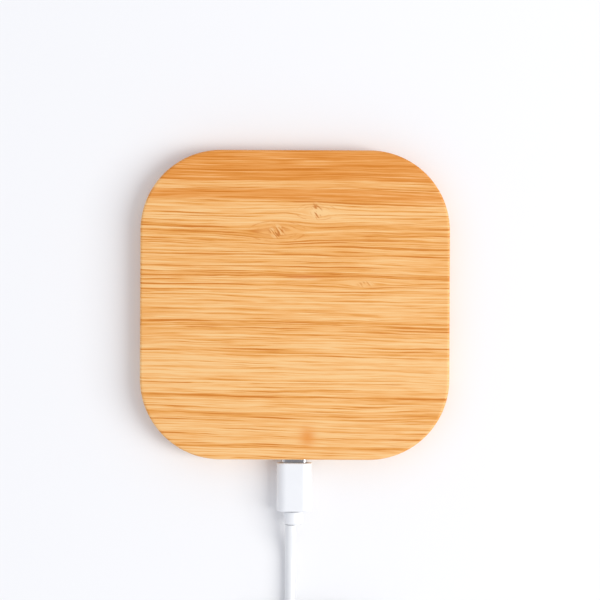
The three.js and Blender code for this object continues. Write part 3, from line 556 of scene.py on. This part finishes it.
def metal_material(name, pale, shade, roughness, along):
    """Drawn or plated metal with fine marks along one direction."""
    shader = Shader(name, roughness, 1.0)
    stretch = [0.4 if axis == along else 9.0 for axis in "xyz"]
    place = shader.vector(*(shader.times(part, by)
                            for part, by in zip((shader.x, shader.y, shader.z), stretch)))
    marks = shader.noise(place, 1.0, 3.0, 0.6)
    smudge = shader.noise(shader.place, 0.35, 3.0)
    colour = shader.mix(shader.range(shader.add(marks, smudge), -0.4, 0.4), pale, shade)
    shader.bump(marks, 0.01, 0.5)
    return shader.finish(colour, shader.range(smudge, -0.3, 0.3, roughness - 0.07, roughness + 0.09))


def woven_material(name, pale, shade, pitch):
    """Woven tape: two crossing sets of threads, with a soft nap; the low parts of the weave are
    painted darker as shade.
    """
    shader = Shader(name, 0.9)
    step = math.pi / pitch
    warp = shader.math("SINE", shader.times(shader.x, step))
    weft = shader.math("SINE", shader.times(shader.add(shader.y, shader.z), step))
    weave = shader.times(warp, weft)
    nap = shader.noise(shader.place, 4.0, 3.0, 0.7)
    height = shader.add(shader.times(weave, 0.5), nap)
    # Colour follows the weave's height: painted shade in the hollows between threads, with the random
    # nap adding real tone on top.
    colour = shader.mix(shader.range(height, -0.6, 0.6), shade, pale)
    shader.bump(height, 0.12, 0.7)
    shader.surface.inputs["Sheen Weight"].default_value = 0.3
    return shader.finish(colour, shader.range(nap, -0.3, 0.3, 0.84, 0.96))


def laminate_material():
    """Circuit board: solder mask over copper tracks that show as a lighter green."""
    shader = Shader("solder_mask", 0.35)
    row_shift = shader.times(shader.math("FLOOR", shader.times(shader.y, 0.4)), 1.7)
    wave = shader.math("SINE", shader.times(shader.add(shader.x, row_shift), 1.6))
    tracks = shader.range(shader.math("ABSOLUTE", wave), 0.75, 0.82)
    weave = shader.noise(shader.place, 2.5, 2.0)
    colour = shader.mix(tracks, (0.012, 0.075, 0.03), (0.03, 0.16, 0.06))
    shader.bump(shader.add(tracks, weave), 0.02, 0.5)
    return shader.finish(colour, shader.range(weave, -0.3, 0.3, 0.3, 0.42))


def clear_material():
    """Clear moulded plastic with faint flow marks."""
    shader = Shader("clear_plastic", 0.12)
    flow = shader.noise(shader.place, 0.8, 2.0)
    shader.surface.inputs["Transmission Weight"].default_value = 0.8
    shader.surface.inputs["IOR"].default_value = 1.49
    shader.bump(flow, 0.02, 0.4)
    colour = shader.mix(shader.range(flow, -0.3, 0.3), (0.86, 0.92, 0.93), (0.93, 0.96, 0.96))
    return shader.finish(colour, shader.range(flow, -0.3, 0.3, 0.08, 0.18))


# Moulded materials: slot, name, pale colour, shade colour, roughness, grain, depth, coat
MOULDED = [
    ("cover_plastic", "cover_abs", (0.76, 0.75, 0.73), (0.70, 0.69, 0.67), 0.55, 5.0, 0.03, 0),
    ("foot_rubber", "silicone", (0.30, 0.30, 0.31), (0.24, 0.24, 0.25), 0.75, 3.0, 0.04, 0),
    ("connector_plastic", "black_nylon", (0.02, 0.02, 0.022), (0.03, 0.03, 0.03), 0.5, 4.0, 0.02, 0),
    ("carrier_plastic", "white_nylon", (0.80, 0.80, 0.80), (0.74, 0.74, 0.75), 0.45, 4.0, 0.02, 0),
    ("chip_epoxy", "chip_epoxy", (0.03, 0.03, 0.033), (0.05, 0.05, 0.05), 0.6, 6.0, 0.03, 0),
    ("capacitor_ceramic", "capacitor_ceramic", (0.42, 0.30, 0.18), (0.35, 0.24, 0.14),
     0.4, 4.0, 0.02, 0),
    ("inductor_ferrite", "ferrite", (0.045, 0.044, 0.043), (0.07, 0.068, 0.066), 0.7, 5.0, 0.04, 0),
    ("led_resin", "led_resin", (0.80, 0.78, 0.55), (0.86, 0.84, 0.66), 0.3, 2.0, 0.01, 0),
    ("lead_sleeve", "woven_sleeve", (0.68, 0.62, 0.48), (0.58, 0.52, 0.38), 0.7, 6.0, 0.05, 0),
    ("adhesive_film", "adhesive_film", (0.66, 0.62, 0.50), (0.58, 0.54, 0.43), 0.5, 2.0, 0.02, 0),
    ("foam", "foam", (0.02, 0.02, 0.022), (0.04, 0.04, 0.04), 0.95, 7.0, 0.12, 0),
    ("plug_plastic", "plug_pvc", (0.82, 0.83, 0.845), (0.79, 0.80, 0.82), 0.36, 6.0, 0.012, 0.3),
    ("cord_jacket", "cord_pvc", (0.77, 0.78, 0.79), (0.745, 0.755, 0.77), 0.34, 5.0, 0.01, 0.4),
]
# Metals: slot, name, pale colour, shade colour, roughness, direction of the marks
METALS = [
    ("screw_steel", "zinc_plate", (0.62, 0.63, 0.65), (0.50, 0.51, 0.53), 0.32, "z"),
    ("connector_steel", "nickel_plate", (0.66, 0.66, 0.67), (0.55, 0.55, 0.56), 0.22, "y"),
    ("copper_wire", "enamelled_copper", (0.72, 0.29, 0.10), (0.55, 0.19, 0.06), 0.3, "z"),
]
MATERIALS = {
    "bamboo": bamboo_material(),
    "board_laminate": laminate_material(),
    "light_guide_plastic": clear_material(),
    # The tape's second, darker colour is painted shade for the hollows of its weave.
    "tie_fabric": woven_material("tape", (0.66, 0.67, 0.69), (0.48, 0.49, 0.51), 0.5),
}
MATERIALS.update((row[0], moulded_material(*row[1:])) for row in MOULDED)
MATERIALS.update((row[0], metal_material(*row[1:])) for row in METALS)

# ---------------------------------------------------------------- mesh tools


def rounded_loop(half_x, half_y, radius, segments):
    """Points round a rectangle with round corners, anticlockwise, starting on the right."""
    points = []
    for quarter, (sign_x, sign_y) in enumerate([(1, 1), (-1, 1), (-1, -1), (1, -1)]):
        for step in range(segments + 1):
            angle = math.pi / 2 * (quarter + step / segments)
            points.append((sign_x * (half_x - radius) + radius * math.cos(angle),
                           sign_y * (half_y - radius) + radius * math.sin(angle)))
    return points


def flat_loop(half, radius, z):
    """A rounded square lying at height z."""
    return [Vector((x, y, z)) for x, y in rounded_loop(half, half, radius, CORNER_SEGMENTS)]


def pad_loop(half, z):
    """As flat_loop, with the corner radius that keeps it an even inset of the pad's outline."""
    return flat_loop(half, CORNER_RADIUS - (PAD_HALF - half), z)


def upright_loop(half_x, half_z, radius, y, centre_x, centre_z, segments):
    """A rounded rectangle standing across the Y axis."""
    return [Vector((centre_x + x, y, centre_z + z))
            for x, z in rounded_loop(half_x, half_z, radius, segments)]


def circle_loop(radius, height, centre, axis, segments=48):
    """A circle round an axis that runs along z or y through centre."""
    points = []
    for step in range(segments):
        angle = 2 * math.pi * step / segments
        across, up = radius * math.cos(angle), radius * math.sin(angle)
        if axis == "z":
            points.append(Vector((centre[0] + across, centre[1] + up, height)))
        else:
            points.append(Vector((centre[0] + across, height, centre[1] + up)))
    return points


def piece(name, bm, body, slot, smooth_angle):
    """Turns a bmesh in millimetres into a piece that rides on a body, with crisp edges kept crisp."""
    bmesh.ops.scale(bm, vec=(MM, MM, MM), verts=bm.verts)
    bmesh.ops.recalc_face_normals(bm, faces=bm.faces)
    for face in bm.faces:
        face.smooth = True
    for edge in bm.edges:
        if edge.is_manifold:
            edge.smooth = edge.calc_face_angle(0) < math.radians(smooth_angle)
    mesh = bpy.data.meshes.new(name)
    bm.to_mesh(mesh)
    bm.free()
    obj = bpy.data.objects.new(name, mesh)
    bpy.context.scene.collection.objects.link(obj)
    weighted = obj.modifiers.new("weighted", "WEIGHTED_NORMAL")
    weighted.keep_sharp = True
    mesh.materials.append(MATERIALS[slot])
    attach(obj, body)
    return obj


def loft(loops):
    """Skins a row of loops of equal count, with both ends capped."""
    bm = bmesh.new()
    rows = [[bm.verts.new(point) for point in loop] for loop in loops]
    for low, high in zip(rows, rows[1:]):
        count = len(low)
        for index in range(count):
            after = (index + 1) % count
            bm.faces.new((low[index], low[after], high[after], high[index]))
    bm.faces.new(list(reversed(rows[0])))
    bm.faces.new(rows[-1])
    return bm


def arc(centre_out, centre_up, radius, start, end, steps):
    """Points (out, up) of a rounded edge between two angles in degrees."""
    points = []
    for step in range(steps + 1):
        angle = math.radians(start + (end - start) * step / steps)
        points.append((centre_out + radius * math.cos(angle), centre_up + radius * math.sin(angle)))
    return points


def carve(bm, cutters, operation="DIFFERENCE"):
    """Subtracts each cutter from bm, or joins it on, and returns the result."""
    target = loose_object(bm)
    for cutter_bm in cutters:
        cutter = loose_object(cutter_bm)
        modifier = target.modifiers.new("cut", "BOOLEAN")
        modifier.operation = operation
        modifier.solver = "EXACT"
        modifier.object = cutter
        graph = bpy.context.evaluated_depsgraph_get()
        carved = bpy.data.meshes.new_from_object(target.evaluated_get(graph))
        target.modifiers.clear()
        target.data = carved
        bpy.data.objects.remove(cutter)
    result = bmesh.new()
    result.from_mesh(target.data)
    bpy.data.objects.remove(target)
    return result


def loose_object(bm):
    """A working object for a modifier. It uses up the bmesh."""
    bmesh.ops.recalc_face_normals(bm, faces=bm.faces)
    mesh = bpy.data.meshes.new("loose")
    bm.to_mesh(mesh)
    bm.free()
    obj = bpy.data.objects.new("loose", mesh)
    bpy.context.scene.collection.objects.link(obj)
    return obj


def cylinder_cutter(radius, low, high, centre, axis="z", segments=40):
    """A round bar along z or y, for cutting or joining."""
    return loft([circle_loop(radius, low, centre, axis, segments),
                 circle_loop(radius, high, centre, axis, segments)])


CORNERS = [(1, 1), (-1, 1), (-1, -1), (1, -1)]

# ---------------------------------------------------------------- the lead


def smoothstep(t):
    """Eases from 0 to 1 as t does."""
    t = min(max(t, 0.0), 1.0)
    return t * t * (3 - 2 * t)


def wound_radius_and_height(turned):
    """Radius and height of the wound lead after it has turned this many degrees from the west."""
    inner = WOUND_MID_RADIUS - TURN_PITCH
    outer = WOUND_MID_RADIUS + TURN_PITCH
    lower_turns = TURNS_IN * 360
    height = CORD_Z + LAYER_PITCH * smoothstep((turned - lower_turns + 140) / 100)
    if turned < lower_turns:
        steps_in = sum(smoothstep((turned - turn * 360 + 70) / 70) for turn in (1, 2))
        return outer - TURN_PITCH * steps_in, height
    steps_out = sum(smoothstep((turned - lower_turns - turn * 360 - 190) / 80) for turn in (0, 1))
    return inner + TURN_PITCH * steps_out, height


def wound_route():
    """The wound length: three turns inwards on the floor, then nearly three outwards on top."""
    points = []
    step = 15
    for turned in range(0, TURNS_IN * 360 + TOP_TURNED + 1, step):
        angle = math.radians(180 + turned)
        radius, height = wound_radius_and_height(turned)
        from_tie = ((turned + 90) % 360) - 180
        height += TIE_RISE * math.exp(-(from_tie / TIE_REACH) ** 2)
        points.append((WOUND_CENTRE[0] + radius * math.cos(angle),
                       WOUND_CENTRE[1] + radius * math.sin(angle), height))
    return points


def make_cord():
    """The whole lead as one round curve, from the USB-C plug's relief to the far plug's."""
    route = LEAD_ROUTE + wound_route() + TAIL_ROUTE
    data = bpy.data.curves.new("cable", "CURVE")
    data.dimensions = "3D"
    data.bevel_depth = CORD_RADIUS * MM
    data.bevel_resolution = 6
    data.resolution_u = 6
    data.use_fill_caps = True
    spline = data.splines.new("BEZIER")
    spline.bezier_points.add(len(route) - 1)
    for point, place in zip(spline.bezier_points, route):
        point.co = Vector(place) * MM
        point.handle_left_type = "AUTO"
        point.handle_right_type = "AUTO"
    cord = bpy.data.objects.new("cable", data)
    bpy.context.scene.collection.objects.link(cord)
    data.materials.append(MATERIALS["cord_jacket"])
    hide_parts("cable_lead", "cable_coil", "cable_tail")
    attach(cord, "cable")
    return cord


cable = make_cord()

# ---------------------------------------------------------------- pad


def bamboo_shell():
    """The milled bamboo: outer skin, rounded rims, cover seat and pocket in one closed skin."""
    profile = [(SEAT_HALF, SEAT_Z), (SEAT_HALF, PAD_BASE)]
    profile += [(PAD_HALF - BASE_ROUNDING - 0.3, PAD_BASE)]
    profile += arc(PAD_HALF - BASE_ROUNDING, PAD_BASE + BASE_ROUNDING, BASE_ROUNDING, -90, 0, 6)
    profile += [(PAD_HALF, PAD_BASE + BASE_ROUNDING + 0.3), (PAD_HALF, PAD_TOP - TOP_ROUNDING - 0.3)]
    profile += arc(PAD_HALF - TOP_ROUNDING, PAD_TOP - TOP_ROUNDING, TOP_ROUNDING, 0, 90, 8)
    profile += [(PAD_HALF - TOP_ROUNDING - 0.4, PAD_TOP)]
    outer = [pad_loop(half, z) for half, z in profile]
    pocket = [flat_loop(POCKET_HALF, POCKET_RADIUS, z) for z in (ROOF_Z, SEAT_Z)]
    bm = loft(pocket + outer)
    half_x, half_z = PORT_SLOT
    slot = loft([upright_loop(half_x, half_z, half_z - 0.01, y, 0, PORT_Z, 12)
                 for y in (-PAD_HALF - 1.5, -46.5)])
    bay_x, bay_z, bay_centre = BAY
    bay = loft([upright_loop(bay_x, bay_z, 0.5, y, 0, bay_centre, 3)
                for y in (BAY_FRONT_Y, BAY_BACK_Y)])
    guide = cylinder_cutter(GUIDE_HOLE_RADIUS, -PAD_HALF - 1.5, BAY_BACK_Y,
                            (LIGHT_GUIDE_X, PORT_Z), "y", 32)
    pilots = [cylinder_cutter(PILOT_RADIUS, SEAT_Z - 0.5, PILOT_TOP_Z,
                              (sign_x * CORNER_OFFSET, sign_y * CORNER_OFFSET), "z", 24)
              for sign_x, sign_y in CORNERS]
    bm = carve(bm, [bay, slot, guide, *pilots])
    shell = piece("bamboo_shell", bm, "pad", "bamboo", 30)
    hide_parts("bamboo_body")


bamboo_shell()


def bottom_cover():
    """The moulded cover, with a recess for each foot and a countersink for each screw."""
    half, rounding, top = COVER_HALF, COVER_ROUNDING, SEAT_Z - 0.1
    profile = [(half - 0.5, top), (half - 0.15, top), (half, top - 0.15), (half, PAD_BASE + 0.5)]
    profile += arc(half - rounding, PAD_BASE + rounding, rounding, 0, -90, 5)
    profile += [(half - rounding - 0.4, PAD_BASE)]
    bm = loft([pad_loop(side, z) for side, z in profile])
    middles = [(sign * BOARD_SCREW_X, BOARD_SCREW_Y) for sign in (-1, 1)]
    bosses = [cylinder_cutter(BOSS_RADIUS, PAD_BASE + 0.8, top + BOSS_HEIGHT, middle)
              for middle in middles]
    bm = carve(bm, bosses, "UNION")
    seats = []
    for sign_x, sign_y in CORNERS:
        centre = (sign_x * CORNER_OFFSET, sign_y * CORNER_OFFSET)
        steps = [(5.6, 0.5), (5.6, 0.9), (5.3, 1.12), (5.3, FOOT_SEAT_Z), (2.5, FOOT_SEAT_Z),
                 (2.5, FOOT_SEAT_Z + 0.3), (1.4, 2.7), (1.4, 4.0)]
        seats.append(loft([circle_loop(radius, z, centre, "z") for radius, z in steps]))
    holes = [cylinder_cutter(BOARD_HOLE_RADIUS, PAD_BASE + 0.5, 5, middle, "z", 24)
             for middle in middles]
    cover = piece("base_cover", carve(bm, seats + holes), "pad", "cover_plastic", 30)
    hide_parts("bottom_cover")


def feet():
    """Four soft discs with a rounded lower rim and a shallow dish underneath."""
    for index, (sign_x, sign_y) in enumerate(CORNERS, 1):
        centre = (sign_x * CORNER_OFFSET, sign_y * CORNER_OFFSET)
        profile = [(FOOT_RADIUS - 0.2, FOOT_SEAT_Z - 0.1), (FOOT_RADIUS, FOOT_SEAT_Z - 0.25),
                   (FOOT_RADIUS, 0.8)]
        profile += arc(FOOT_RADIUS - 0.45, 0.45, 0.45, 0, -90, 6)
        profile += [(3.6, 0.0), (3.2, 0.05), (2.4, 0.12)]
        bm = loft([circle_loop(radius, z, centre, "z") for radius, z in profile])
        pad_foot = piece(f"silicone_foot_{index}", bm, "pad", "foot_rubber", 40)
        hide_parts(f"foot_{index}")


def rounded_ends(front, back, front_rounding, back_rounding):
    """(inset, y) down a moulding from front to back, with a rounded rim at each end."""
    rows = [(front_rounding + 0.4, front)]
    rows += [(front_rounding - out, front - front_rounding + up)
             for out, up in arc(0, 0, front_rounding, 90, 0, 5)]
    rows += [(0, front - front_rounding - 0.5), (0, back + back_rounding + 0.5)]
    rows += [(back_rounding - out, back + back_rounding + up)
             for out, up in arc(0, 0, back_rounding, 0, -90, 7)]
    return rows + [(back_rounding + 0.4, back)]


def usb_c_mouldings():
    """The flat-sided body of the plug and the collar behind it."""
    half_x, half_z = OVERMOLD_WIDTH / 2, OVERMOLD_HEIGHT / 2
    loops = [upright_loop(half_x - inset, half_z - inset, half_z - inset - 0.01, y, 0, PORT_Z, 16)
             for inset, y in rounded_ends(OVERMOLD_FRONT_Y, OVERMOLD_BACK_Y, 0.35, 0.7)]
    socket_x, socket_z = PLUG_SOCKET
    socket = loft([upright_loop(socket_x, socket_z, socket_z - 0.01, y, 0, PORT_Z, 12)
                   for y in (OVERMOLD_FRONT_Y + 1.2, OVERMOLD_FRONT_Y - 2.2)])
    body = piece("usb_c_body", carve(loft(loops), [socket]), "cable", "plug_plastic", 40)
    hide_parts("plug_overmold")
    centre = (RELIEF_X, PORT_Z)
    profile = [(2.75, -67.1), (3.0, -67.14), (3.1, -67.3), (3.1, -68.0), (3.1, -69.0), (3.06, -69.9)]
    profile += [(3.0, -70.5), (2.92, -70.85), (2.75, -71.1), (2.5, -71.2), (2.2, -71.2)]
    bm = loft([circle_loop(radius, y, centre, "y") for radius, y in profile])
    collar = piece("usb_c_collar", bm, "cable", "plug_plastic", 50)
    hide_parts("plug_strain_relief")


def usb_a_mouldings():
    """The far plug's body and the tapered collar where the lead enters it."""
    half_x, half_z = USB_A_BODY_WIDTH / 2, USB_A_BODY_HEIGHT / 2
    rows = rounded_ends(USB_A_BODY_Y, USB_A_SHELL_Y, 1.0, 0.7)
    loops = [upright_loop(half_x - inset, half_z - inset, USB_A_CORNER - inset, y,
                          USB_A_X, USB_A_Z, 8) for inset, y in rows]
    socket = loft([upright_loop(*USB_A_SOCKET, y, USB_A_X, USB_A_Z, 4)
                   for y in (USB_A_SHELL_Y + 5.2, USB_A_SHELL_Y - 1)])
    body = piece("usb_a_body", carve(loft(loops), [socket]), "cable", "plug_plastic", 40)
    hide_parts("usb_a_overmold")
    profile = [(2.05, -116.5), (2.25, -116.55), (2.42, -116.75), (2.58, -117.1), (2.78, -117.9),
               (2.98, -119.3), (3.15, -120.9), (3.26, -122.1), (3.28, -122.3), (3.1, -122.4)]
    bm = loft([circle_loop(radius, y, (USB_A_X, USB_A_Z), "y") for radius, y in profile])
    collar = piece("usb_a_collar", bm, "cable", "plug_plastic", 50)
    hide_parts("usb_a_strain_relief")


def dress_cad_nodes():
    """Gives every part kept from the CAD its material, and softens the sharpest sheet edges."""
    slots = {part["node"]: part["material_slot"] for part in frame["record"]["subparts"]}
    for name, node in frame["nodes"].items():
        node.data.materials.clear()
        node.data.materials.append(MATERIALS[slots[name]])
    for name, width in SOFT_EDGES.items():
        bevel = frame["nodes"][name].modifiers.new("soft_edges", "BEVEL")
        bevel.width = width * MM
        bevel.segments = 2
        bevel.limit_method = "ANGLE"
        bevel.angle_limit = math.radians(40)


bottom_cover()
feet()
usb_c_mouldings()
usb_a_mouldings()
dress_cad_nodes()
